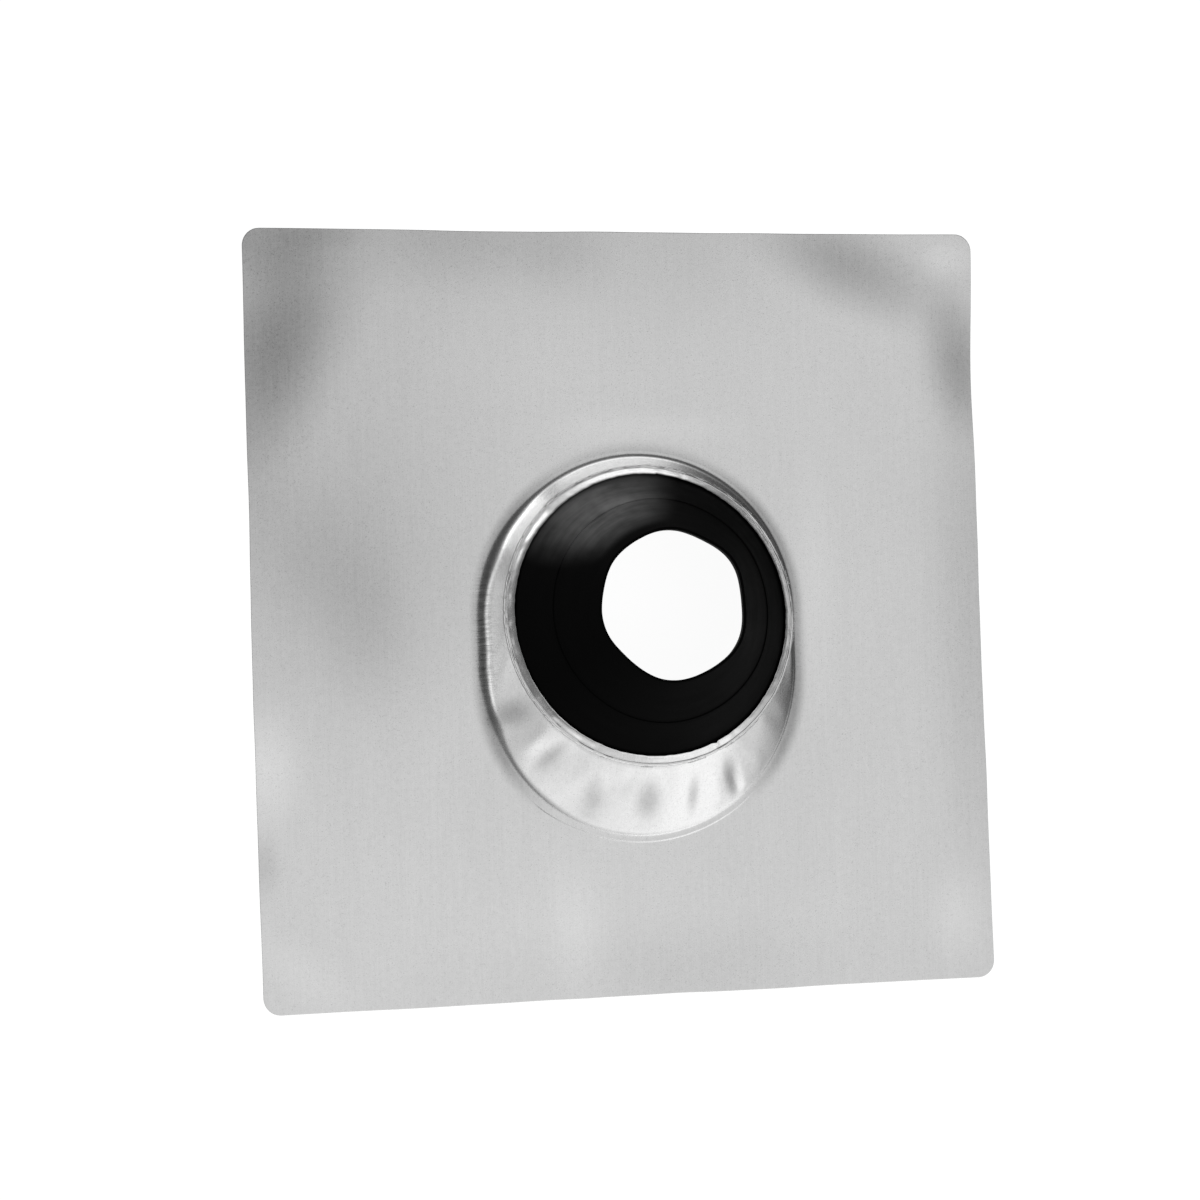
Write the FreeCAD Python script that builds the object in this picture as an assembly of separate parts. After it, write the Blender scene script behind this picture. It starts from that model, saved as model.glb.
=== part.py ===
import FreeCAD, Part
import math
import os

from FreeCAD import Placement, Rotation, Vector

# Roof pipe flashing: a square aluminium sheet with a boss drawn up out of it, and a conical
# rubber collar whose flange is trapped in the boss's crimped rim. Millimetres. +Z points up off
# the roof, +Y up the slope. The origin is the middle of the sheet's underside.

# Sheet
sheet_width = 457.2            # across the slope
sheet_length = 457.2           # up and down the slope
sheet_thickness = 0.7
sheet_corner_radius = 10.5

# Foot of the boss: two half circles joined by straight sides, on the sheet's underside
boss_centre_x = 8.0
foot_upper_y = -2.0            # centre of the up-slope half circle
foot_lower_y = -39.0           # centre of the down-slope half circle
foot_radius = 96.5             # of the wall's outer face, before the bend into the sheet
foot_bend_radius = 12.0        # of the sheet's upper face

# Neck of the boss: a circle in a plane that leans up the slope, where the walls end
neck_radius = 88.0
neck_y = -2.4
neck_height = 19.7             # of the circle's centre above the sheet's underside
neck_tilt = 5.7                # degrees, towards +Y
neck_side_angle = 2.0          # half of the neck's arc that each straight side of the foot runs into

# Crimped rim: a ledge, a rolled bead and a lip pressed down onto the collar's flange
ledge_inset = 1.4              # of the ledge's inner edge, inside the neck
rim_overhang = 2.5             # of the bead past the neck
lip_width = 6.2                # from the outside of the bead to the lip's cut edge
lip_press_depth = 0.4          # of the lip below the top of the bead
lip_press_run = 0.9            # radial length of the slope down to it

# Collar
flange_thickness = 2.2
flange_edge_clearance = 0.3    # between the flange's edge and the start of the bead's fold
lip_edge_clearance = 0.2       # between the cone's foot and the lip's cut edge
collar_wall = 2.6              # of the cone below its step
cone_angle = 49.5              # degrees, of the cone's side above the flange
step_inset = 17.6              # radially, from the cone's foot to the step
step_depth = 0.6               # by which the cone is thinner above the step
hole_radius = 43.6
hole_land = 1.5                # width of the flat round the hole
hole_seal_length = 4.0         # of the straight wall that grips the pipe
hole_chamfer = 0.5             # of the hole's upper edge

former_depth = 30.0            # of the solid formers below the sheet, cut away at the end
tolerance = 1e-3

# Sizes that follow
rim_radius = neck_radius + rim_overhang
lip_opening_radius = rim_radius - lip_width
rim_height = 2 * sheet_thickness + flange_thickness + lip_press_depth
bead_radius = rim_height / 2
bend_radius = rim_radius - bead_radius
neck = Placement(Vector(boss_centre_x, neck_y, neck_height), Rotation(Vector(1, 0, 0), -neck_tilt))


def arc(centre, radius, start_deg, end_deg):
    """Arc about +Z through three points, at centre's height."""
    points = []
    for angle in (start_deg, (start_deg + end_deg) / 2, end_deg):
        turn = math.radians(angle)
        points.append(centre + Vector(radius * math.cos(turn), radius * math.sin(turn), 0))
    return Part.Arc(*points).toShape()


def foot_outline():
    upper = Vector(boss_centre_x, foot_upper_y, 0)
    lower = Vector(boss_centre_x, foot_lower_y, 0)
    side = Vector(foot_radius, 0, 0)
    return Part.Wire([
        Part.makeLine(lower + side, upper + side),
        arc(upper, foot_radius, 0, 180),
        Part.makeLine(upper - side, lower - side),
        arc(lower, foot_radius, 180, 360),
    ])


def neck_outline():
    """Neck circle, split where the foot's straight sides run into it."""
    side = neck_side_angle
    splits = [-side, side, 180 - side, 180 + side, 360 - side]
    outline = Part.Wire([
        arc(Vector(0, 0, 0), neck_radius, start, end) for start, end in zip(splits, splits[1:])
    ])
    outline.Placement = neck
    return outline


def former(face_height, boss, bend):
    """Block with the sheet's outline and the boss on its face, and a bend round the boss's foot."""
    block = Part.makeBox(
        sheet_width, sheet_length, former_depth + face_height,
        Vector(-sheet_width / 2, -sheet_length / 2, -former_depth),
    )
    uprights = [edge for edge in block.Edges if edge.BoundBox.ZLength > tolerance]
    solid = block.makeFillet(sheet_corner_radius, uprights).fuse(boss).removeSplitter()
    foot = [
        edge for edge in solid.Edges
        if edge.BoundBox.ZLength < tolerance
        and abs(edge.BoundBox.ZMin - face_height) < tolerance
        and edge.distToShape(boss)[0] < tolerance
    ]
    return solid.makeFillet(bend, foot)


def drawn_sheet():
    """Sheet and boss wall: what is left between a former for each face of the metal."""
    boss = Part.makeLoft([foot_outline(), neck_outline()], True, True)
    ends = [face for face in boss.Faces if face.Surface.TypeId == "Part::GeomPlane"]
    core = boss.cut(boss.makeThickness(ends, -sheet_thickness, tolerance))
    upper_face = former(sheet_thickness, boss, foot_bend_radius)
    underside = former(0, core, foot_bend_radius + sheet_thickness)
    return upper_face.cut(underside)


def polyline(points):
    """Straight edges of a profile, from (radius, height) pairs."""
    corners = [Vector(radius, 0, height) for radius, height in points]
    return [Part.makeLine(start, end) for start, end in zip(corners, corners[1:])]


def turned(edges):
    """Solid turned about +Z from a closed profile."""
    profile = Part.Face(Part.Wire(edges))
    return profile.revolve(Vector(0, 0, 0), Vector(0, 0, 1), 360)


def crimped_rim():
    """Ledge, bead and lip, from the neck's plane up. The metal is bunched inside the fold."""
    fold_radius = rim_radius - sheet_thickness
    ledge_radius = neck_radius - ledge_inset
    pressed_radius = bend_radius - lip_press_run
    lip_top = rim_height - lip_press_depth
    lip_under = lip_top - sheet_thickness
    bead = Part.Arc(
        Vector(bend_radius, 0, 0),
        Vector(rim_radius, 0, bead_radius),
        Vector(bend_radius, 0, rim_height),
    )
    return turned([bead.toShape()] + polyline([
        (bend_radius, rim_height),
        (pressed_radius, lip_top),
        (lip_opening_radius, lip_top),
        (lip_opening_radius, lip_under),
        (pressed_radius, lip_under),
        (bend_radius, rim_height - sheet_thickness),
        (fold_radius, bead_radius),
        (bend_radius, sheet_thickness),
        (ledge_radius, sheet_thickness),
        (ledge_radius, 0),
        (bend_radius, 0),
    ]))


def flashing_base():
    rim = crimped_rim()
    rim.Placement = neck
    return drawn_sheet().fuse(rim).removeSplitter()


def pipe_collar():
    """Flange on the ledge, and a cone that steps thinner on its way up to the hole."""
    seat = sheet_thickness
    flange_top = seat + flange_thickness
    flange_radius = bend_radius - flange_edge_clearance
    angle = math.radians(cone_angle)
    foot_radius = lip_opening_radius - lip_edge_clearance

    def cone_height(radius, depth):
        """Height at a radius of a cone that lies depth inside the lower cone's outer face."""
        return flange_top + (foot_radius - radius) * math.tan(angle) - depth / math.cos(angle)

    def cone_radius(height, depth):
        return foot_radius - (height - flange_top) / math.tan(angle) - depth / math.sin(angle)

    step_radius = foot_radius - step_inset
    step_end_radius = step_radius - step_depth * math.sin(angle)
    land_radius = hole_radius + hole_land
    top = cone_height(land_radius, step_depth)
    seal_end = top - hole_seal_length
    collar = turned(polyline([
        (flange_radius, seat),
        (flange_radius, flange_top),
        (foot_radius, flange_top),
        (step_radius, cone_height(step_radius, 0)),
        (step_end_radius, cone_height(step_end_radius, step_depth)),
        (land_radius, top),
        (hole_radius + hole_chamfer, top),
        (hole_radius, top - hole_chamfer),
        (hole_radius, seal_end),
        (cone_radius(seal_end, collar_wall), seal_end),
        (cone_radius(seat, collar_wall), seat),
        (flange_radius, seat),
    ]))
    collar.Placement = neck
    return collar


os.makedirs("parts", exist_ok=True)
for name, shape in [("flashing_base", flashing_base()), ("pipe_collar", pipe_collar())]:
    shape.exportStep(f"parts/{name}.step")
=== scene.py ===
import math
from types import SimpleNamespace

import bmesh
import bpy
import numpy as np
from mathutils import Euler, Matrix, Vector


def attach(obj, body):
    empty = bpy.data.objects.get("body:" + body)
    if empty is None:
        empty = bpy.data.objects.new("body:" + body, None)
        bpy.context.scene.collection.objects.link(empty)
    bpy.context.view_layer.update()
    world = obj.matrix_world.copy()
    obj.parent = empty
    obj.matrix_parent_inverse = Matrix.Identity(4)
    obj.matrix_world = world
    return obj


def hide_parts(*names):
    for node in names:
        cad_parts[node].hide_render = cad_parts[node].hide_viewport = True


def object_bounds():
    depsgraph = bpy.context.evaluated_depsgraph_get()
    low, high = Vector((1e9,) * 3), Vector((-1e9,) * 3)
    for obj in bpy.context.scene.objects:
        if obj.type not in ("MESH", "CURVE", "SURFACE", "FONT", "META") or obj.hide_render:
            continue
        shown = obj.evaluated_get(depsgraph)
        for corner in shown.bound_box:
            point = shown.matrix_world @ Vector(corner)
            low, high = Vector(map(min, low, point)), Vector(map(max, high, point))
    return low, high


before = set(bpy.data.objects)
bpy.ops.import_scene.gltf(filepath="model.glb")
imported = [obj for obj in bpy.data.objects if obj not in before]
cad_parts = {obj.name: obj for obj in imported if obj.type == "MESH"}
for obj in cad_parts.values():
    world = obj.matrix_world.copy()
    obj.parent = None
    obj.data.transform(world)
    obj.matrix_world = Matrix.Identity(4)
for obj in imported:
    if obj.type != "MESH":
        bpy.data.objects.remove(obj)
cadBox = [list(corner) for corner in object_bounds()]

# Roof pipe flashing. The frame is in metres, and the sizes of pieces below are in millimetres.
mm = 0.001
sheet = {"half": round(cadBox[1][0] / mm, 1), "thick": 0.7, "corner": 10.5}
# The boss has an obround foot, and a round neck in a plane that leans up the slope
boss = {
    "centreX": 8.0, "upperY": -2.0, "lowerY": -39.0, "foot": 96.5,
    "neck": 88.0, "neckY": -2.4, "neckZ": 19.7, "tilt": math.radians(5.7),
}
neckOrigin = np.array([boss["centreX"], boss["neckY"], boss["neckZ"]])
neckY = np.array([0.0, math.cos(boss["tilt"]), -math.sin(boss["tilt"])])
neckZ = np.array([0.0, math.sin(boss["tilt"]), math.cos(boss["tilt"])])


def newMaterial(name, grey, roughness):
    material = bpy.data.materials.new(name)
    material.use_nodes = True
    material.diffuse_color = (grey, grey, grey, 1)
    tree = material.node_tree
    tree.nodes.clear()
    output = tree.nodes.new("ShaderNodeOutputMaterial")
    surface = tree.nodes.new("ShaderNodeBsdfPrincipled")
    surface.inputs["Roughness"].default_value = roughness
    tree.links.new(surface.outputs["BSDF"], output.inputs["Surface"])
    return material, tree, surface


def put(tree, kind, values=None, **settings):
    # Adds a node; values go on its inputs, or are linked to them if they are sockets
    node = tree.nodes.new(kind)
    for name, value in settings.items():
        setattr(node, name, value)
    for name, value in (values or {}).items():
        if isinstance(value, bpy.types.NodeSocket):
            tree.links.new(value, node.inputs[name])
        else:
            node.inputs[name].default_value = value
    return node


def calc(tree, operation, first, second=0.0, third=0.0, clamp=False):
    values = {0: first, 1: second}
    if operation == "MULTIPLY_ADD":
        values[2] = third
    return put(tree, "ShaderNodeMath", values, operation=operation, use_clamp=clamp).outputs[0]


def ramp(tree, value, low, high, lowOut=0.0, highOut=1.0):
    # Smooth step from lowOut to highOut as value goes from low to high
    return put(tree, "ShaderNodeMapRange", {
        "Value": value, "From Min": low, "From Max": high, "To Min": lowOut, "To Max": highOut,
    }, interpolation_type="SMOOTHSTEP").outputs["Result"]


def noise(tree, place, scale, stretch=(1, 1, 1), turn=0.0, detail=3.0, rough=0.55):
    # Noise on a stretched and turned copy of the coordinates; scale is per metre
    mapping = put(tree, "ShaderNodeMapping", {
        "Vector": place, "Rotation": (0, 0, turn), "Scale": stretch,
    })
    return put(tree, "ShaderNodeTexNoise", {
        "Vector": mapping.outputs[0], "Scale": scale, "Detail": detail, "Roughness": rough,
    }).outputs["Fac"]


def addUp(tree, parts):
    # Sum of masks, each with its weight
    total = 0.0
    for mask, weight in parts:
        total = calc(tree, "MULTIPLY_ADD", mask, weight, total)
    return total


def shadeFrom(tree, surface, grey, rough, height, finish):
    # Wires a grey, a roughness and a fine relief to the surface
    colour = put(tree, "ShaderNodeCombineColor", {"Red": grey, "Green": grey, "Blue": grey})
    tree.links.new(colour.outputs[0], surface.inputs["Base Color"])
    tree.links.new(calc(tree, "ADD", rough, finish["roughness"]), surface.inputs["Roughness"])
    bump = put(tree, "ShaderNodeBump", {
        "Strength": finish["bumpStrength"], "Distance": finish["bumpDepth"] * mm, "Height": height,
    })
    tree.links.new(bump.outputs["Normal"], surface.inputs["Normal"])


def groupTree(name, inputs):
    # Node group with the given inputs and one mask as its output
    group = bpy.data.node_groups.new(name, "ShaderNodeTree")
    for label, kind, default in inputs:
        socket = group.interface.new_socket(label, in_out="INPUT", socket_type=kind)
        if default is not None:
            socket.default_value = default
    group.interface.new_socket("Mask", in_out="OUTPUT", socket_type="NodeSocketFloat")
    return group, group.nodes.new("NodeGroupInput"), group.nodes.new("NodeGroupOutput")


def buildPatch():
    # Soft oval patch at a place: 1 in its middle, 0 outside
    group, given, result = groupTree("softPatch", [
        ("Coordinates", "NodeSocketVector", None),
        ("Centre", "NodeSocketVector", (0, 0, 0)),
        ("Turn", "NodeSocketFloat", 0.0),
        ("Reach", "NodeSocketVector", (0.05, 0.05, 1)),
    ])
    offset = put(group, "ShaderNodeVectorMath", {
        0: given.outputs["Coordinates"], 1: given.outputs["Centre"],
    }, operation="SUBTRACT")
    turned = put(group, "ShaderNodeVectorRotate", {
        "Vector": offset.outputs[0], "Angle": given.outputs["Turn"],
    }, rotation_type="Z_AXIS")
    scaled = put(group, "ShaderNodeVectorMath", {
        0: turned.outputs[0], 1: given.outputs["Reach"],
    }, operation="DIVIDE")
    length = put(group, "ShaderNodeVectorMath", {0: scaled.outputs[0]}, operation="LENGTH")
    mask = ramp(group, length.outputs["Value"], 0.0, 1.0, 1.0, 0.0)
    group.links.new(mask, result.inputs["Mask"])
    return group


def buildSpeckle():
    # Fine dirt and pits: a value near 0 with sparse spots up to 1
    group, given, result = groupTree("fineSpeckle", [
        ("Coordinates", "NodeSocketVector", None),
        ("Scale", "NodeSocketFloat", 900.0),
        ("Cover", "NodeSocketFloat", 0.3),
    ])
    fine = put(group, "ShaderNodeTexNoise", {
        "Vector": given.outputs["Coordinates"], "Scale": given.outputs["Scale"],
        "Detail": 4.0, "Roughness": 0.7,
    })
    start = calc(group, "SUBTRACT", 0.72, given.outputs["Cover"])
    spots = calc(group, "SUBTRACT", fine.outputs["Fac"], start)
    group.links.new(calc(group, "MULTIPLY", spots, 5.0, clamp=True), result.inputs["Mask"])
    return group


softPatch = buildPatch()
fineSpeckle = buildSpeckle()


def patch(tree, place, x, y, reachX, reachY, turn=0.0):
    node = put(tree, "ShaderNodeGroup", node_tree=softPatch)
    tree.links.new(place, node.inputs["Coordinates"])
    node.inputs["Centre"].default_value = (x * mm, y * mm, 0)
    node.inputs["Turn"].default_value = math.radians(-turn)
    node.inputs["Reach"].default_value = (reachX * mm, reachY * mm, 10)
    return node.outputs["Mask"]


def speckle(tree, place, scale, cover):
    node = put(tree, "ShaderNodeGroup", node_tree=fineSpeckle)
    tree.links.new(place, node.inputs["Coordinates"])
    node.inputs["Scale"].default_value = scale
    node.inputs["Cover"].default_value = cover
    return node.outputs["Mask"]


millFinish = {
    "grey": 0.53, "roughness": 0.12, "bumpStrength": 0.5, "bumpDepth": 0.06,
    "paintedShadeAtFoot": -0.34, "scratchShade": 0.08, "scratchWidth": 0.28,
}
# Each patch: x, y, reach along, reach across, turn in degrees, and its change to the metal's grey.
# They are partly painted shade and light, such as dark bands where the sheet's corners and edges bend,
# and partly uneven tone of the metal
paintedLightAndTonePatches = [
    (-190, 110, 190, 230, 0, -0.10),
    (-40, 230, 330, 90, 0, -0.08),
    (-90, -200, 190, 110, 0, 0.05),
    (-196, 172, 46, 100, -20, -0.21),
    (-228, 150, 54, 150, -6, -0.20),
    (-215, 225, 60, 40, 0, -0.16),
    (-100, 226, 120, 44, 0, -0.10),
    (-178, 226, 44, 14, 0, -0.06),
    (-35, 212, 44, 40, 0, -0.05),
    (150, 208, 90, 36, -24, -0.24),
    (218, 150, 32, 62, 12, -0.24),
    (214, 214, 26, 18, 0, 0.08),
    (230, 20, 50, 260, 0, -0.13),
    (20, -215, 240, 40, 0, -0.05),
    (-160, -5, 42, 62, 0, -0.07),
    (-170, 15, 120, 120, 0, -0.08),
    (-190, 40, 60, 60, 0, -0.05),
    (-222, -85, 30, 50, 0, 0.12),
    (-226, -142, 16, 26, 0, -0.10),
    (-205, -205, 60, 24, -40, 0.05),
    (-36, -190, 26, 60, 0, 0.06),
    (205, -190, 30, 40, 0, 0.07),
    # Painted light: a pale halo on the sheet to the right of the boss
    (120, 10, 22, 110, 0, 0.05),
    # Painted shade of the puckers in the boss's long wall
    (5, -111, 12, 18, 0, -0.30),
    (34, -110, 6, 17, 4, -0.24),
    (58, -99, 8, 19, 16, -0.32),
    (-28, -107, 9, 16, -8, -0.20),
    (-54, -83, 18, 7, 42, -0.28),
    (-76, -58, 18, 13, 20, -0.28),
    # Painted light: a pale halo on the sheet just above the boss
    (10, 110, 90, 16, 0, 0.05),
]
# Each scratch: x, y, half its length, turn in degrees
scratches = [
    (-155, 75, 21, -45), (-118, 214, 9, 62), (-60, 219, 7, -74), (34, 210, 8, 80),
    (96, 216, 6, 58), (170, 96, 12, 25), (150, -96, 16, -68), (-196, -40, 10, 12),
    (70, -160, 12, 82), (-90, -176, 9, 74), (12, 176, 14, -12), (-32, -196, 10, -64),
]
drawnPatch = (-89, -14, 9, 60)  # fine marks that drawing left at the foot: x, y and reach


def paintFootShade(tree, place):
    # Painted shade: a soft dark band along the boss's foot, strong at its sides and gone down the
    # slope
    parts = put(tree, "ShaderNodeSeparateXYZ", {"Vector": place})
    low = calc(tree, "MAXIMUM", parts.outputs["Y"], boss["lowerY"] * mm)
    nearest = calc(tree, "MINIMUM", low, boss["upperY"] * mm)
    offsetX = calc(tree, "SUBTRACT", parts.outputs["X"], boss["centreX"] * mm)
    offsetY = calc(tree, "SUBTRACT", parts.outputs["Y"], nearest)
    offset = put(tree, "ShaderNodeCombineXYZ", {"X": offsetX, "Y": offsetY})
    length = put(tree, "ShaderNodeVectorMath", {0: offset.outputs[0]}, operation="LENGTH")
    away = length.outputs["Value"]
    middle = (boss["foot"] + 1.5) * mm
    within = ramp(tree, away, (boss["foot"] - 3) * mm, middle)
    beyond = ramp(tree, away, middle, (boss["foot"] + 10) * mm, 1.0, 0.0)
    offBottom = ramp(tree, offsetY, -85 * mm, -40 * mm)
    offTop = ramp(tree, offsetY, 60 * mm, 96 * mm, 1.0, 0.35)
    band = calc(tree, "MULTIPLY", within, beyond)
    return calc(tree, "MULTIPLY", band, calc(tree, "MULTIPLY", offBottom, offTop))


def millAluminium():
    material, tree, surface = newMaterial("millAluminium", 0.72, 0.36)
    place = put(tree, "ShaderNodeTexCoord").outputs["Object"]
    # Rolled grain runs up and down the slope
    grain = noise(tree, place, 1.0, stretch=(1500, 26, 300), detail=4.0, rough=0.62)
    streak = noise(tree, place, 1.0, stretch=(240, 5, 60), detail=3.0)
    cloud = noise(tree, place, 1.0, stretch=(9, 5, 9), turn=0.6, detail=2.0)
    mottle = noise(tree, place, 330.0, detail=5.0, rough=0.7)
    spots = speckle(tree, place, 1100.0, 0.16)
    tones = [(grain, 0.12), (streak, 0.03), (cloud, 0.12), (mottle, 0.16), (spots, -0.20)]
    # Patches of painted shade and light, and of uneven tone, added to the grey
    for *where, change in paintedLightAndTonePatches:
        tones.append((patch(tree, place, *where), change))
    # Painted shade in the bend round the boss's foot
    tones.append((paintFootShade(tree, place), millFinish["paintedShadeAtFoot"]))
    grey = calc(tree, "ADD", addUp(tree, tones), millFinish["grey"], clamp=True)
    width = millFinish["scratchWidth"]
    lines = addUp(tree, [
        (patch(tree, place, x, y, half, width, turn), 1.0) for x, y, half, turn in scratches
    ])
    grey = calc(tree, "MULTIPLY_ADD", lines, millFinish["scratchShade"], grey)
    ribs = calc(tree, "SUBTRACT", noise(tree, place, 1.0, stretch=(40, 1300, 200)), 0.5)
    drawn = calc(tree, "MULTIPLY", ribs, patch(tree, place, *drawnPatch))
    grey = calc(tree, "ADD", drawn, grey)
    rough = addUp(tree, [(grain, 0.08), (mottle, 0.08), (cloud, 0.08), (spots, 0.12)])
    height = addUp(tree, [(grain, 0.14), (mottle, 0.4), (lines, -0.5), (drawn, 3.0), (spots, -0.4)])
    shadeFrom(tree, surface, grey, rough, height, millFinish)
    surface.inputs["Metallic"].default_value = 1.0
    return material


# The last three numbers set the painted sheen on the cone's up-slope left: its strength, and the radii
# where it starts and where it is full
rubberFinish = {
    "roughness": 0.22, "gloss": 0.03, "bumpStrength": 0.45, "bumpDepth": 0.12,
    "ringRun": 1.4, "ringsPerMetre": 230.0, "paintedSheen": 0.24, "paintedSheenFrom": 47, "paintedSheenFull": 53,
}
# Painted sheen on the rubber's up-slope left
paintedSheenPatch = (-22, 61, 58, 28, 28)  # x, y, reach along, reach across, turn in degrees


def blackRubber():
    material, tree, surface = newMaterial("blackRubber", 0.02, 0.5)
    place = put(tree, "ShaderNodeTexCoord").outputs["Object"]
    # Rings of mould marks run round the tilted axis
    centred = put(tree, "ShaderNodeMapping", {
        "Vector": place, "Location": tuple(-neckOrigin * mm),
    })
    level = put(tree, "ShaderNodeMapping", {
        "Vector": centred.outputs[0], "Rotation": (boss["tilt"], 0, 0),
    })
    parts = put(tree, "ShaderNodeSeparateXYZ", {"Vector": level.outputs[0]})
    flat = put(tree, "ShaderNodeCombineXYZ", {"X": parts.outputs["X"], "Y": parts.outputs["Y"]})
    length = put(tree, "ShaderNodeVectorMath", {0: flat.outputs[0]}, operation="LENGTH")
    radius = length.outputs["Value"]
    direction = put(tree, "ShaderNodeVectorMath", {0: flat.outputs[0]}, operation="NORMALIZE")
    turned = put(tree, "ShaderNodeSeparateXYZ", {"Vector": direction.outputs[0]})
    ringPlace = put(tree, "ShaderNodeCombineXYZ", {
        "X": calc(tree, "MULTIPLY", turned.outputs["X"], rubberFinish["ringRun"]),
        "Y": calc(tree, "MULTIPLY", turned.outputs["Y"], rubberFinish["ringRun"]),
        "Z": calc(tree, "MULTIPLY", radius, rubberFinish["ringsPerMetre"]),
    })
    rings = put(tree, "ShaderNodeTexNoise", {
        "Vector": ringPlace.outputs[0], "Scale": 1.0, "Detail": 4.0, "Roughness": 0.6,
    }).outputs["Fac"]
    smear = noise(tree, place, 42.0, detail=3.0)
    fine = noise(tree, place, 1500.0, detail=2.0)
    dust = speckle(tree, place, 1300.0, 0.12)
    # Painted sheen, streaked round the cone, on the up-slope left
    ringStreaks = ramp(tree, rings, 0.20, 0.75, 0.5)
    smearStreaks = ramp(tree, smear, 0.2, 0.7, 0.45)
    sheenStreaks = calc(tree, "MULTIPLY", ringStreaks, smearStreaks)
    paintedSheen = calc(tree, "MULTIPLY", sheenStreaks, patch(tree, place, *paintedSheenPatch))
    offHole = ramp(tree, radius, rubberFinish["paintedSheenFrom"] * mm, rubberFinish["paintedSheenFull"] * mm)
    paintedSheen = calc(tree, "MULTIPLY", paintedSheen, offHole)
    tones = [(smear, 0.0008), (rings, 0.0006), (dust, 0.002), (paintedSheen, rubberFinish["paintedSheen"])]
    rough = addUp(tree, [(rings, 0.30), (smear, 0.22), (dust, 0.2)])
    height = addUp(tree, [(rings, 1.0), (fine, 0.35), (dust, 0.3)])
    shadeFrom(tree, surface, addUp(tree, tones), rough, height, rubberFinish)
    surface.inputs["Specular IOR Level"].default_value = rubberFinish["gloss"]
    return material


metal = millAluminium()
rubber = blackRubber()
print("materials made")


# Flashing sheet: closed rings of points run from the lip's cut edge down the wall, out to the sheared
# edge and back along the underside. Columns join them, and stand closer towards the sheet's corners.
columnPlan = {
    "straightSteps": 14, "sideAngle": 2.0, "cornerTurns": (46.3, 135.7, 218.7, 319.3),
    "cornerReach": 9, "cornerStep": 0.3,
}
bend = {"full": 12.0, "tight": 6.0, "downhillCut": 0.42}
ridge = {"height": 0.45, "heightCut": 0.25, "reach": 4.5, "reachCut": 1.9, "step": 0.35}
shearedEdge = {"inset": 0.4, "dip": 2.4, "dipTurn": 0.60, "dipWidth": 0.13}
rim = {"cut": 84.25, "lip": 4.6, "press": 2.12, "valley": 88.25}
# Bead from the valley over its top to its underside: radius and height
beadOutline = [
    (89.05, 2.38), (89.4, 2.42), (89.75, 2.28), (90.05, 1.98), (90.25, 1.55), (90.34, 1.05),
    (90.34, 0.6), (90.24, 0.2), (90.06, -0.1), (89.8, -0.35), (89.45, -0.52),
]
# Inside of the rolled rim, from the wall's top to the lip: radius and height
seatOutline = [
    (86.75, 0.02), (86.6, 0.15), (86.6, 0.6), (86.7, 0.7), (88.4, 0.68), (89.2, 0.5),
    (89.6, 0.9), (89.55, 1.4), (89.2, 1.7), (88.8, 1.65), (88.35, 1.25), (87.6, 1.6),
]
# Small waves round the rim and the sheet's edge: how many, size and phase
waves = {
    "cut": [(5, 0.12, 0.4), (23, 0.06, 1.0), (61, 0.07, 2.0), (97, 0.05, 0.2)],
    "press": [(7, 0.06, 0.3), (31, 0.04, 1.2), (53, 0.03, 0.5)],
    "lip": [(3, 0.08, 1.3), (11, 0.07, 0.2), (37, 0.04, 2.2)],
    "pinch": [(120, 0.16, 0.0), (71, 0.12, 1.0)],
    "valley": [(9, 0.12, 0.0), (41, 0.07, 0.8)],
    "edge": [(7, 0.20, 0.5), (13, 0.14, 1.9), (29, 0.06, 0.3)],
}
nicks = [(84, 0.6, 0.012), (294.2, 0.9, 0.011)]  # direction in degrees, depth, width in radians
# Soft puckers in the boss's wall: x, y, reach up the wall, reach along it, and depth
dents = [
    (8, -112, 12, 7, 0.62), (37, -112, 11, 4, 0.50), (62, -102, 13, 4, 0.75), (-25, -108, 11, 6, 0.50),
    (-51, -84, 12, 5, 0.60), (-72, -60, 14, 8, 0.70), (86, -64, 10, 6, 0.45), (-9, -100, 7, 4, 0.25),
    (-40, -98, 12, 5, -0.30), (22, -106, 12, 5, -0.35), (49, -106, 12, 4, -0.40),
    (75, -88, 12, 5, -0.35), (-62, -74, 10, 5, -0.30), (-78, 30, 10, 12, 0.35),
    (-62, 60, 9, 10, 0.40), (-36, 80, 8, 9, 0.30), (-80, -22, 12, 10, 0.35),
]
dentAimY = -22.0  # puckers run up the wall towards this place on the boss's middle line
# How high each corner of the sheet stands: the signs of its X and Y, and the height
cornerLifts = [(-1, 1, 3.2), (1, 1, 4.2), (1, -1, 3.4), (-1, -1, 2.8)]


def smooth(value, low, high):
    part = np.clip((value - low) / (high - low), 0, 1)
    return part * part * (3 - 2 * part)


def ripple(angle, name):
    return sum(size * np.sin(count * angle + phase) for count, size, phase in waves[name])


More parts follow.
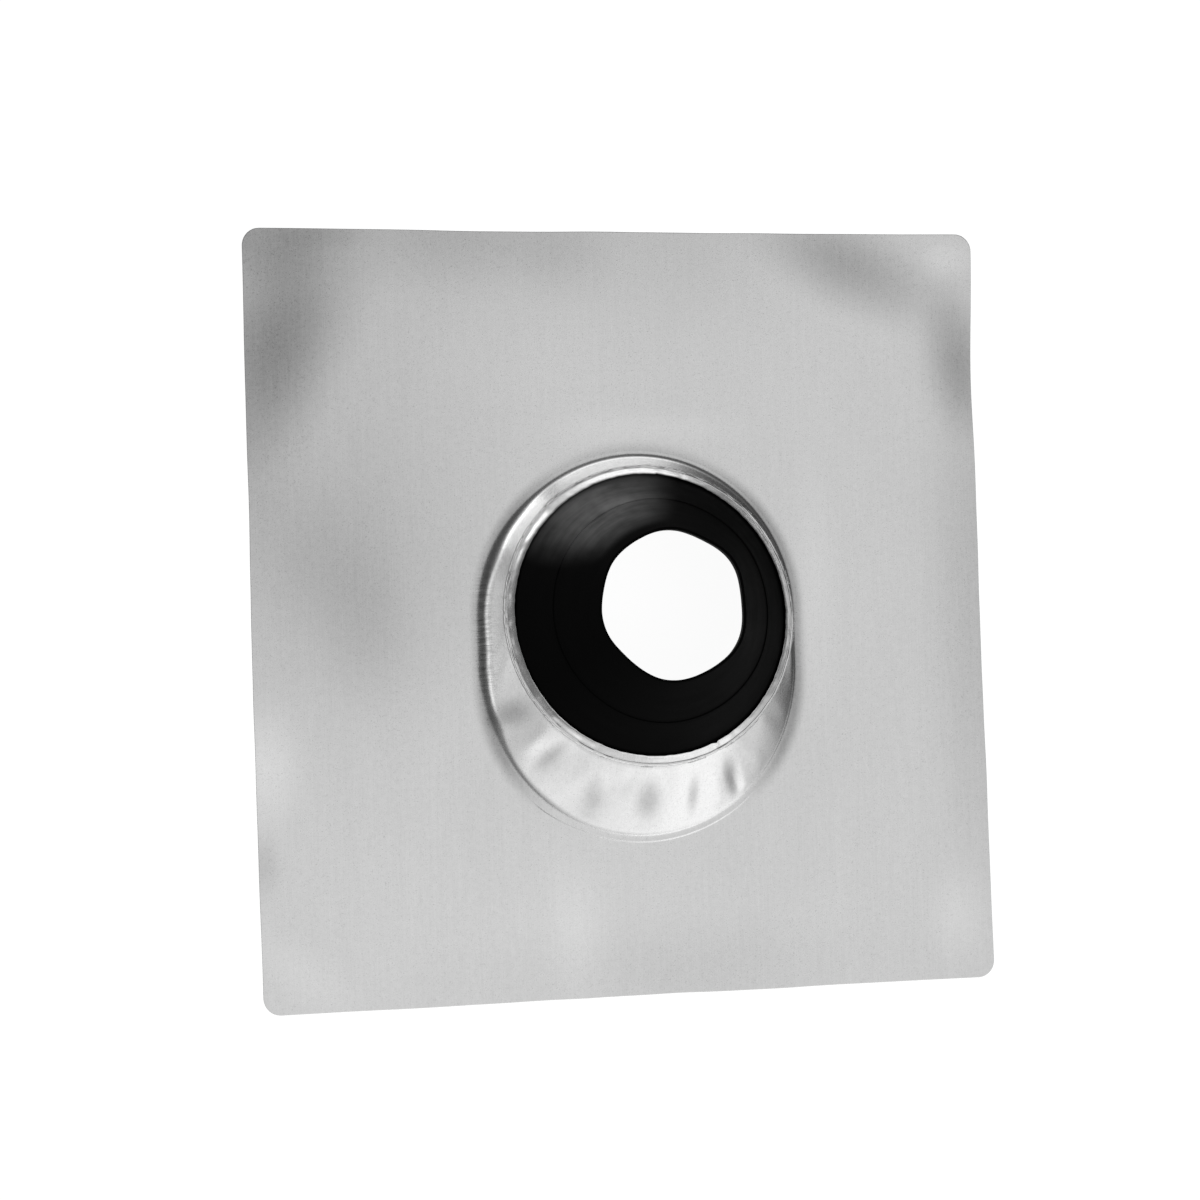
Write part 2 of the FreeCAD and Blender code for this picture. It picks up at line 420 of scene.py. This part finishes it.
def columns():
    # Foot direction, foot centre's Y and neck direction of each column round the boss
    side = columnPlan["sideAngle"]
    reach = columnPlan["cornerReach"]
    turns = {float(turn) for turn in range(361)}
    for corner in columnPlan["cornerTurns"]:
        for step in range(-reach, reach + 1):
            turns.add(round(corner + step * columnPlan["cornerStep"], 3))
    result = []

    def halfRound(first, centreY):
        for turn in sorted(turns):
            if first <= turn < first + 180:
                neck = first + side + (turn - first) * (180 - 2 * side) / 180
                result.append((turn, centreY, neck))

    def straight(turn, startY, endY):
        for step in range(columnPlan["straightSteps"]):
            part = step / columnPlan["straightSteps"]
            result.append((turn, startY + (endY - startY) * part, turn - side + 2 * side * part))

    halfRound(0, boss["upperY"])
    straight(180.0, boss["upperY"], boss["lowerY"])
    halfRound(180, boss["lowerY"])
    straight(360.0, boss["lowerY"], boss["upperY"])
    return np.array(result)


def edgeDistance(start, outward):
    # Distance from start along outward to the sheet's rounded edge, found by closing the gap
    reach = np.full(len(start), 60.0)
    inner = sheet["half"] - sheet["corner"]
    for step in range(200):
        past = np.abs(start + outward * reach[:, None]) - inner
        outside = np.linalg.norm(np.maximum(past, 0), axis=1)
        reach -= outside + np.minimum(past.max(axis=1), 0) - sheet["corner"]
    return reach


def neckPoint(shape, radius, height):
    # Point of each column at a radius and height in the neck's leaning frame
    radius = np.broadcast_to(radius, shape.neckTurn.shape)[:, None]
    height = np.broadcast_to(height, shape.neckTurn.shape)[:, None]
    ringX = np.cos(shape.neckTurn)[:, None] * np.array([1.0, 0, 0])
    ring = ringX + np.sin(shape.neckTurn)[:, None] * neckY
    return neckOrigin + radius * ring + height * neckZ


def sheetShape():
    # Directions, slopes and sizes that the rings are made from, one of each for every column
    shape = SimpleNamespace()
    plan = columns()
    turn = np.radians(plan[:, 0])
    shape.neckTurn = np.radians(plan[:, 2])
    shape.outward = np.stack([np.cos(turn), np.sin(turn)], axis=1)
    shape.along = np.stack([-np.sin(turn), np.cos(turn)], axis=1)
    shape.centre = np.stack([np.full(len(turn), boss["centreX"]), plan[:, 1]], axis=1)
    shape.footPoint = shape.centre + shape.outward * boss["foot"]
    shape.neckTop = neckPoint(shape, boss["neck"], 0)
    rise = shape.neckTop - np.hstack([shape.footPoint, np.zeros((len(turn), 1))])
    inwardRun = -(rise[:, :2] * shape.outward).sum(axis=1)
    shape.drift = (rise[:, :2] * shape.along).sum(axis=1) / rise[:, 2]
    shape.slope = np.arctan2(rise[:, 2], inwardRun)
    # The bend is full on the left and lower left, tight elsewhere, and tighter straight down the slope
    full = smooth(-shape.outward[:, 0] - shape.outward[:, 1] * 0.9, -0.2, 0.7)
    shape.bend = bend["tight"] + (bend["full"] - bend["tight"]) * full
    shape.bend *= 1 - bend["downhillCut"] * smooth(-shape.outward[:, 1], 0.75, 0.97)
    shape.bendCentre = shape.bend * np.tan(shape.slope / 2) - sheet["thick"] / np.tan(shape.slope)
    # A low ridge stands just outside the bend, and a small pressed step too down the slope
    shape.downhill = smooth(-shape.outward[:, 1], 0.55, 0.9)
    shape.ridge = ridge["height"] - ridge["heightCut"] * shape.downhill
    shape.ridgeReach = ridge["reach"] - ridge["reachCut"] * shape.downhill
    shape.step = ridge["step"] * shape.downhill
    # The sheared edge wanders a little, and dips in on the right, up the slope
    dip = np.exp(-((turn - shearedEdge["dipTurn"]) / shearedEdge["dipWidth"]) ** 2)
    shape.edge = edgeDistance(shape.centre, shape.outward) - shearedEdge["inset"]
    shape.edge -= ripple(turn, "edge") + shearedEdge["dip"] * dip
    return shape


def bendPoint(shape, part, radius):
    # Point on the bend: part is 0 at the flat sheet and 1 at the wall
    turn = shape.slope * part
    rise = (shape.ridge + shape.step) * (1 - part) ** (2 - shape.downhill)
    height = sheet["thick"] + shape.bend - radius * np.cos(turn) + rise
    distance = shape.bendCentre - radius * np.sin(turn)
    drift = shape.drift * np.maximum(height - sheet["thick"], 0)
    flat = shape.footPoint + shape.outward * distance[:, None] + shape.along * drift[:, None]
    return np.hstack([flat, height[:, None]])


def flatPoint(shape, distance, height):
    # Point on the sheet at a distance from the foot's centre
    flat = shape.centre + shape.outward * distance[:, None]
    beyond = distance - boss["foot"] - shape.bendCentre
    rise = shape.ridge * np.exp(-beyond / shape.ridgeReach)
    rise += shape.step * (1 - smooth(beyond, 0.2, 1.3))
    return np.hstack([flat, (height + rise)[:, None]])


def sheetRings(shape):
    cut = rim["cut"] + ripple(shape.neckTurn, "cut")
    for direction, depth, width in nicks:
        cut += depth * np.exp(-((shape.neckTurn - math.radians(direction)) / width) ** 2)
    lip = rim["lip"] + ripple(shape.neckTurn, "lip")
    press = rim["press"] + ripple(shape.neckTurn, "press")
    valley = rim["valley"] + ripple(shape.neckTurn, "valley")
    pinch = np.maximum(0, ripple(shape.neckTurn, "pinch"))
    # Lip, valley and bead
    outline = [
        (cut, lip - 0.16), (cut + 0.12, lip - 0.04), (cut + 0.3, lip - 0.08),
        (cut + 1.2, lip * 0.76 + press * 0.24), (cut + 2.4, lip * 0.44 + press * 0.56),
        (valley - 0.6, press + 0.34), (valley - 0.15, press + 0.06),
        (valley + 0.15, press + 0.08), (valley + 0.45, press + 0.30),
    ]
    outline += [(radius - pinch * (height < 2), height) for radius, height in beadOutline]
    outline += [(89.05, -0.62), (88.65, -0.75)]
    rings = [neckPoint(shape, radius, height) for radius, height in outline]
    # Outer face of the wall and bend
    bendTop = bendPoint(shape, 1.0, shape.bend)
    for part in np.linspace(0.06, 0.97, 26):
        rings.append(shape.neckTop + (bendTop - shape.neckTop) * part)
    for part in np.linspace(1.0, 0.0, 11):
        rings.append(bendPoint(shape, part, shape.bend))
    # Upper face of the sheet, its edge and its underside
    thick = sheet["thick"]
    start = boss["foot"] + shape.bendCentre
    near = [0.2, 0.38, 0.56, 0.75, 0.94, 1.12, 1.3, 1.7, 2.5, 3.6, 5.0]
    distances = [start + step for step in near]
    for part in np.linspace(0, 1, 20)[1:-1] ** 1.3:
        distances.append(start + near[-1] + (shape.edge - near[-1] - 1.2 - start) * part)
    distances += [shape.edge - 1.2, shape.edge - 0.5]
    edgeOutline = [
        (0.2, thick), (0.06, thick - 0.05), (0.0, thick - 0.2), (0.0, 0.25), (0.08, 0.05), (0.25, 0.0),
    ]
    rings += [flatPoint(shape, distance, thick) for distance in distances]
    rings += [flatPoint(shape, shape.edge - inset, height) for inset, height in edgeOutline]
    rings += [flatPoint(shape, distance, 0.0) for distance in distances[::-1]]
    # Inner face of the bend and wall, and the inside of the rim
    for part in np.linspace(0.0, 1.0, 9):
        rings.append(bendPoint(shape, part, shape.bend + thick))
    bendTop = bendPoint(shape, 1.0, shape.bend + thick)
    normal = np.hstack([shape.outward * np.sin(shape.slope)[:, None], np.cos(shape.slope)[:, None]])
    wallTop = shape.neckTop - normal * thick
    for part in np.linspace(0.1, 1.0, 12):
        rings.append(bendTop + (wallTop - bendTop) * part)
    outline = seatOutline + [(cut + 0.2, lip - 0.72), (cut, lip - 0.55)]
    rings += [neckPoint(shape, radius, height) for radius, height in outline]
    return np.array(rings)


def pressDents(points):
    x, y, z = points[..., 0], points[..., 1], points[..., 2]
    onWall = smooth(z, 2.0, 6.0)
    for dentX, dentY, upWall, alongWall, depth in dents:
        inward = np.array([boss["centreX"] - dentX, dentAimY - dentY, 0.0])
        inward /= np.linalg.norm(inward)
        up = ((x - dentX) * inward[0] + (y - dentY) * inward[1]) / upWall
        side = ((x - dentX) * inward[1] - (y - dentY) * inward[0]) / alongWall
        push = depth * np.exp(-up ** 2 - side ** 2) * onWall
        points += push[..., None] * (inward * 0.6 - np.array([0, 0, 0.8]))


def sheetLift(x, y):
    # How far the thin sheet stands up off the floor, away from the boss
    lift = 0.0
    for signX, signY, height in cornerLifts:
        lift = lift + height * smooth(x * signX, 60, 235) * smooth(y * signY, 60, 235)
    wave = 0.5 + 0.5 * np.sin(x * 0.021 + 1.1) * np.sin(y * 0.018 - 0.4)
    edge = np.maximum(np.abs(x), np.abs(y))
    lift = lift + 0.9 * wave * smooth(edge, 150, 228)
    return lift * smooth(np.hypot(x - 8, y + 20), 120, 200)


def sheetMesh():
    points = sheetRings(sheetShape())
    pressDents(points)
    points[..., 2] += sheetLift(points[..., 0], points[..., 1])
    np.maximum(points[..., 2], 0, out=points[..., 2])
    ringCount, columnCount = points.shape[:2]
    faces = []
    for ring in range(ringCount):
        inner = ring * columnCount
        outer = (ring + 1) % ringCount * columnCount
        for column in range(columnCount):
            after = (column + 1) % columnCount
            faces.append((inner + column, inner + after, outer + after, outer + column))
    mesh = bpy.data.meshes.new("flashingSheet")
    mesh.from_pydata((points.reshape(-1, 3) * mm).tolist(), [], faces)
    return mesh


def addPiece(name, mesh, material, smoothAngle):
    build = bmesh.new()
    build.from_mesh(mesh)
    bmesh.ops.remove_doubles(build, verts=build.verts, dist=1e-6)
    bmesh.ops.recalc_face_normals(build, faces=build.faces)
    build.to_mesh(mesh)
    build.free()
    mesh.shade_smooth()
    mesh.set_sharp_from_angle(angle=math.radians(smoothAngle))
    mesh.materials.clear()
    mesh.materials.append(material)
    piece = bpy.data.objects.new(name, mesh)
    bpy.context.scene.collection.objects.link(piece)
    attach(piece, "root")
    return piece


flashing = addPiece("flashingSheet", sheetMesh(), metal, 32)
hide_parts("flashing_base")
print("flashing sheet made:", len(flashing.data.polygons), "faces")


def geometryTree(name, sizes):
    # Tree with a geometry input and output, and a named number as input for each size
    tree = bpy.data.node_groups.new(name, "GeometryNodeTree")
    tree.interface.new_socket("Geometry", in_out="INPUT", socket_type="NodeSocketGeometry")
    for label, value in sizes.items():
        kind = "NodeSocketInt" if isinstance(value, int) else "NodeSocketFloat"
        tree.interface.new_socket(label, in_out="INPUT", socket_type=kind).default_value = value
    tree.interface.new_socket("Geometry", in_out="OUTPUT", socket_type="NodeSocketGeometry")
    return tree, tree.nodes.new("NodeGroupInput"), tree.nodes.new("NodeGroupOutput")


def finishTree(tree, result, geometry, material):
    # Sets what the tree made in the neck's leaning frame, as real geometry with its material
    placed = put(tree, "GeometryNodeTransform", {
        "Geometry": geometry,
        "Translation": tuple(neckOrigin * mm),
        "Rotation": Euler((-boss["tilt"], 0, 0)),
    })
    realised = put(tree, "GeometryNodeRealizeInstances", {"Geometry": placed.outputs[0]})
    coloured = put(tree, "GeometryNodeSetMaterial", {
        "Geometry": realised.outputs[0], "Material": material,
    })
    tree.links.new(coloured.outputs[0], result.inputs["Geometry"])


def bake(name, mesh, tree, sizes):
    # Plain mesh that a tree makes from a mesh and sizes; the modifier goes with its object
    holder = bpy.data.objects.new(name, mesh)
    bpy.context.scene.collection.objects.link(holder)
    modifier = holder.modifiers.new(name, "NODES")
    modifier.node_group = tree
    for item in tree.interface.items_tree:
        if item.in_out == "INPUT" and item.name in sizes:
            modifier[item.identifier] = sizes[item.name]
    graph = bpy.context.evaluated_depsgraph_get()
    made = bpy.data.meshes.new_from_object(holder.evaluated_get(graph))
    bpy.data.objects.remove(holder)
    made.name = name
    return made


collar = {
    "flangeRadius": 88.2, "seat": 0.7, "flangeTop": 2.9, "footRadius": 84.1, "angle": 49.5,
    "wall": 2.6, "stepInset": 17.6, "stepDepth": 0.6, "hole": 43.6, "land": 1.56, "seal": 4.0,
    "lipRise": 0.95, "edgeDrop": 1.75, "turnRadius": 60.0, "outlineStep": 3.0,
}
collarSizes = {"Corner Radius": 0.0005, "Turn Steps": 288, "Wander": 0.00052, "Seed": 3}
# Waves of the hole's soft outline: how many, share and phase
holeWaves = [(5, 1.0, -1.9), (6, 1.0, -1.2), (7, 0.45, -3.0), (3, 0.4, -1.4), (2, 0.3, -0.6)]


def collarProfile():
    # Radius and height of each corner of the collar's section, in the neck's frame
    angle = math.radians(collar["angle"])

    def coneHeight(radius, depth):
        run = collar["footRadius"] - radius
        return collar["flangeTop"] + run * math.tan(angle) - depth / math.cos(angle)

    def coneRadius(height, depth):
        rise = height - collar["flangeTop"]
        return collar["footRadius"] - rise / math.tan(angle) - depth / math.sin(angle)

    # The pressed lip leaves the flange thinner at its edge and fuller at the cone's foot
    lipFoot = collar["flangeTop"] + collar["lipRise"]
    step = collar["footRadius"] - collar["stepInset"]
    stepEnd = step - collar["stepDepth"] * math.sin(angle)
    land = collar["hole"] + collar["land"]
    top = coneHeight(land, collar["stepDepth"])
    sealEnd = top - collar["seal"]
    return [
        (collar["flangeRadius"], collar["seat"]),
        (collar["flangeRadius"], collar["flangeTop"] - collar["edgeDrop"]),
        (coneRadius(lipFoot, 0), lipFoot),
        (step, coneHeight(step, 0)),
        (stepEnd, coneHeight(stepEnd, collar["stepDepth"])),
        (land, top),
        (collar["hole"], top),
        (collar["hole"], sealEnd),
        (coneRadius(sealEnd, collar["wall"]), sealEnd),
        (coneRadius(collar["seat"], collar["wall"]), collar["seat"]),
    ]


def collarTree():
    # Turns the input's closed outline about +Z, rounds its corners and lets the rubber wander
    tree, given, result = geometryTree("turnedRubber", collarSizes)
    outline = put(tree, "GeometryNodeMeshToCurve", {"Mesh": given.outputs["Geometry"]})
    rounded = put(tree, "GeometryNodeFilletCurve", {
        "Curve": outline.outputs[0], "Radius": given.outputs["Corner Radius"],
        "Limit Radius": True, "Count": 4,
    }, mode="POLY")
    path = put(tree, "GeometryNodeCurvePrimitiveCircle", {
        "Resolution": given.outputs["Turn Steps"], "Radius": collar["turnRadius"] * mm,
    })
    swept = put(tree, "GeometryNodeCurveToMesh", {
        "Curve": path.outputs["Curve"], "Profile Curve": rounded.outputs[0],
    })
    place = put(tree, "GeometryNodeInputPosition").outputs[0]
    parts = put(tree, "ShaderNodeSeparateXYZ", {"Vector": place})
    angle = calc(tree, "ARCTAN2", parts.outputs["Y"], parts.outputs["X"])
    shift = 0.0
    for count, share, phase in holeWaves:
        turn = calc(tree, "MULTIPLY_ADD", angle, count, phase)
        shift = calc(tree, "MULTIPLY_ADD", calc(tree, "SINE", turn), share, shift)
    drift = put(tree, "ShaderNodeTexNoise", {
        "Vector": place, "W": given.outputs["Seed"], "Scale": 60.0, "Detail": 1.0,
    }, noise_dimensions="4D").outputs["Fac"]
    shift = calc(tree, "ADD", shift, calc(tree, "SUBTRACT", drift, 0.5))
    # The flange is held still, and the hole's edge moves most
    free = put(tree, "ShaderNodeMapRange", {
        "Value": parts.outputs["Z"], "From Min": 4 * mm, "From Max": 46 * mm,
    })
    growth = calc(tree, "POWER", free.outputs["Result"], 2.0)
    amount = calc(tree, "MULTIPLY", growth, given.outputs["Wander"])
    flat = put(tree, "ShaderNodeVectorMath", {0: place, 1: (1, 1, 0)}, operation="MULTIPLY")
    outward = put(tree, "ShaderNodeVectorMath", {0: flat.outputs[0]}, operation="NORMALIZE")
    offset = put(tree, "ShaderNodeVectorMath", {
        0: outward.outputs[0], "Scale": calc(tree, "MULTIPLY", amount, shift),
    }, operation="SCALE")
    moved = put(tree, "GeometryNodeSetPosition", {
        "Geometry": swept.outputs["Mesh"], "Offset": offset.outputs[0],
    })
    finishTree(tree, result, moved.outputs[0], rubber)
    return tree


def collarMesh():
    # The section's long sides are divided into short steps
    profile = collarProfile()
    corners = []
    for start, end in zip(profile, profile[1:] + profile[:1]):
        steps = max(1, round(math.dist(start, end) / collar["outlineStep"]))
        for step in range(steps):
            radius = start[0] + (end[0] - start[0]) * step / steps
            height = start[1] + (end[1] - start[1]) * step / steps
            corners.append(((radius - collar["turnRadius"]) * mm, -height * mm, 0))
    count = len(corners)
    outline = bpy.data.meshes.new("collarOutline")
    outline.from_pydata(corners, [(i, (i + 1) % count) for i in range(count)], [])
    return bake("rubberCollar", outline, collarTree(), collarSizes)


collarPiece = addPiece("rubberCollar", collarMesh(), rubber, 40)
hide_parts("pipe_collar")
print("rubber collar made:", len(collarPiece.data.polygons), "faces")


crimp = {"Ring Radius": 0.0905, "Ring Height": 0.0009, "Places": 520, "Cover": 0.45, "Seed": 7}
# Smallest and largest half sizes of a pinch
pinchSizes = ((0.3, 0.35, 0.5), (0.5, 0.6, 1.0))


def crimpTree():
    # Small pinches of metal, in clusters round a ring on the bead
    tree, given, result = geometryTree("crimpMarks", crimp)
    ring = put(tree, "GeometryNodeCurvePrimitiveCircle", {
        "Resolution": given.outputs["Places"], "Radius": given.outputs["Ring Radius"],
    })
    places = put(tree, "GeometryNodeCurveToPoints", {
        "Curve": ring.outputs["Curve"], "Count": given.outputs["Places"],
    })
    position = put(tree, "GeometryNodeInputPosition").outputs[0]
    cluster = put(tree, "ShaderNodeTexNoise", {
        "Vector": position, "W": given.outputs["Seed"], "Scale": 34.0, "Detail": 2.0,
    }, noise_dimensions="4D").outputs["Fac"]
    limit = calc(tree, "SUBTRACT", 1.0, given.outputs["Cover"])
    chosen = put(tree, "FunctionNodeCompare", {0: cluster, 1: limit}, operation="GREATER_THAN")
    pinch = put(tree, "GeometryNodeMeshIcoSphere", {"Radius": mm, "Subdivisions": 1})
    spread = put(tree, "FunctionNodeRandomValue", {
        0: pinchSizes[0], 1: pinchSizes[1], "Seed": given.outputs["Seed"],
    }, data_type="FLOAT_VECTOR")
    radial = put(tree, "FunctionNodeAlignRotationToVector", {"Vector": position}, axis="Y")
    marks = put(tree, "GeometryNodeInstanceOnPoints", {
        "Points": places.outputs["Points"], "Selection": chosen.outputs[0],
        "Instance": pinch.outputs["Mesh"], "Rotation": radial.outputs[0],
        "Scale": spread.outputs[0],
    })
    height = put(tree, "ShaderNodeCombineXYZ", {"Z": given.outputs["Ring Height"]})
    lifted = put(tree, "GeometryNodeTransform", {
        "Geometry": marks.outputs[0], "Translation": height.outputs[0],
    })
    finishTree(tree, result, lifted.outputs[0], metal)
    return tree


crimpMesh = bake("crimpMarks", bpy.data.meshes.new("empty"), crimpTree(), crimp)
addPiece("crimpMarks", crimpMesh, metal, 60)
print("crimp marks made:", len(crimpMesh.polygons), "faces")


floorLook = {"reach": 6.0, "drop": 0.0002, "grey": 0.9, "glow": 1.18, "glowShare": 0.80}
# The room's pale low walls fade out as they rise, and fall dark towards one side
room = {
    "wallEnd": (0.34, 0.58), "wallLight": 0.58, "ceilingLight": 0.08, "leastLight": 0.08,
    "darkSide": (0.85, 0.30, 0.45), "darkNearness": (0.70, 0.92), "darkShare": 0.06,
}
# Each lamp: direction, distance, width and height, and power
lamps = {
    "overhead": ((0.34, -0.20, 0.92), 3.0, (3.5, 3.9), 28),
    "downSlope": ((0.10, -0.87, 0.48), 2.4, (5.0, 1.95), 17),
    "upSlopeLeft": ((-0.62, 0.76, 0.16), 2.4, (1.3, 0.7), 4),
    "upSlope": ((0.15, 0.98, 0.15), 2.4, (2.0, 0.6), 3),
    "leftSide": ((-0.91, 0.05, 0.40), 2.4, (2.0, 0.8), 3.5),
}
view = {
    "lens": 110.10, "place": (-0.66701, -0.05796, 2.08885),
    "right": (0.954566, -0.030947, 0.296395), "back": (-0.297293, -0.030112, 0.954313),
}


def makeFloor():
    # Diffuse, so that it takes the shadow, with a white glow for what sees or mirrors it
    reach = floorLook["reach"]
    grey = floorLook["grey"]
    corners = [(-reach, -reach, 0), (reach, -reach, 0), (reach, reach, 0), (-reach, reach, 0)]
    mesh = bpy.data.meshes.new("floor")
    mesh.from_pydata(corners, [], [(0, 1, 2, 3)])
    floor = bpy.data.objects.new("floor", mesh)
    floor.location.z = -floorLook["drop"]
    bpy.context.scene.collection.objects.link(floor)
    material, tree, surface = newMaterial("paleFloor", grey, 0.9)
    surface.inputs["Base Color"].default_value = (grey, grey, grey, 1)
    output = next(node for node in tree.nodes if node.type == "OUTPUT_MATERIAL")
    glow = put(tree, "ShaderNodeEmission", {"Strength": floorLook["glow"]})
    rays = put(tree, "ShaderNodeLightPath")
    seen = calc(tree, "MAXIMUM", rays.outputs["Is Camera Ray"], rays.outputs["Is Glossy Ray"])
    seen = calc(tree, "MAXIMUM", seen, rays.outputs["Is Transmission Ray"])
    amount = calc(tree, "MULTIPLY", seen, floorLook["glowShare"])
    mixed = put(tree, "ShaderNodeMixShader", {0: amount, 1: surface.outputs[0], 2: glow.outputs[0]})
    tree.links.new(mixed.outputs[0], output.inputs["Surface"])
    mesh.materials.append(material)


def makeRoom():
    world = bpy.data.worlds.new("softRoom")
    world.use_nodes = True
    tree = world.node_tree
    direction = put(tree, "ShaderNodeTexCoord").outputs["Generated"]
    parts = put(tree, "ShaderNodeSeparateXYZ", {"Vector": direction})
    nearness = put(tree, "ShaderNodeVectorMath", {
        0: direction, 1: tuple(Vector(room["darkSide"]).normalized()),
    }, operation="DOT_PRODUCT").outputs["Value"]
    wall = ramp(tree, parts.outputs["Z"], *room["wallEnd"], 1.0, 0.0)
    lit = ramp(tree, nearness, *room["darkNearness"], 1.0, room["darkShare"])
    wallLight = calc(tree, "MULTIPLY", calc(tree, "MULTIPLY", wall, lit), room["wallLight"])
    ceilingLight = calc(tree, "MULTIPLY_ADD", lit, room["ceilingLight"], room["leastLight"])
    background = tree.nodes["Background"]
    tree.links.new(calc(tree, "ADD", wallLight, ceilingLight), background.inputs["Strength"])
    background.inputs["Color"].default_value = (1, 1, 1, 1)
    bpy.context.scene.world = world


def addLamp(name, direction, distance, size, power):
    # Soft rectangular lamp that faces the object from a direction
    lamp = bpy.data.lights.new(name, "AREA")
    lamp.shape = "RECTANGLE"
    lamp.size, lamp.size_y = size
    lamp.energy = power
    holder = bpy.data.objects.new(name, lamp)
    toward = Vector(direction).normalized()
    holder.location = toward * distance
    holder.rotation_euler = toward.to_track_quat("Z", "Y").to_euler()
    bpy.context.scene.collection.objects.link(holder)


def makeCamera():
    data = bpy.data.cameras.new("camera")
    data.lens = view["lens"]
    data.sensor_width = 36.0
    data.clip_end = 50.0
    camera = bpy.data.objects.new("camera", data)
    back = Vector(view["back"]).normalized()
    up = back.cross(Vector(view["right"]).normalized()).normalized()
    turn = Matrix((up.cross(back), up, back)).transposed().to_4x4()
    camera.matrix_world = Matrix.Translation(view["place"]) @ turn
    bpy.context.scene.collection.objects.link(camera)
    bpy.context.scene.camera = camera


makeFloor()
makeRoom()
for name, values in lamps.items():
    addLamp(name, *values)
makeCamera()
bpy.context.scene.view_settings.view_transform = "Standard"
print("floor, room, lamps and camera made")
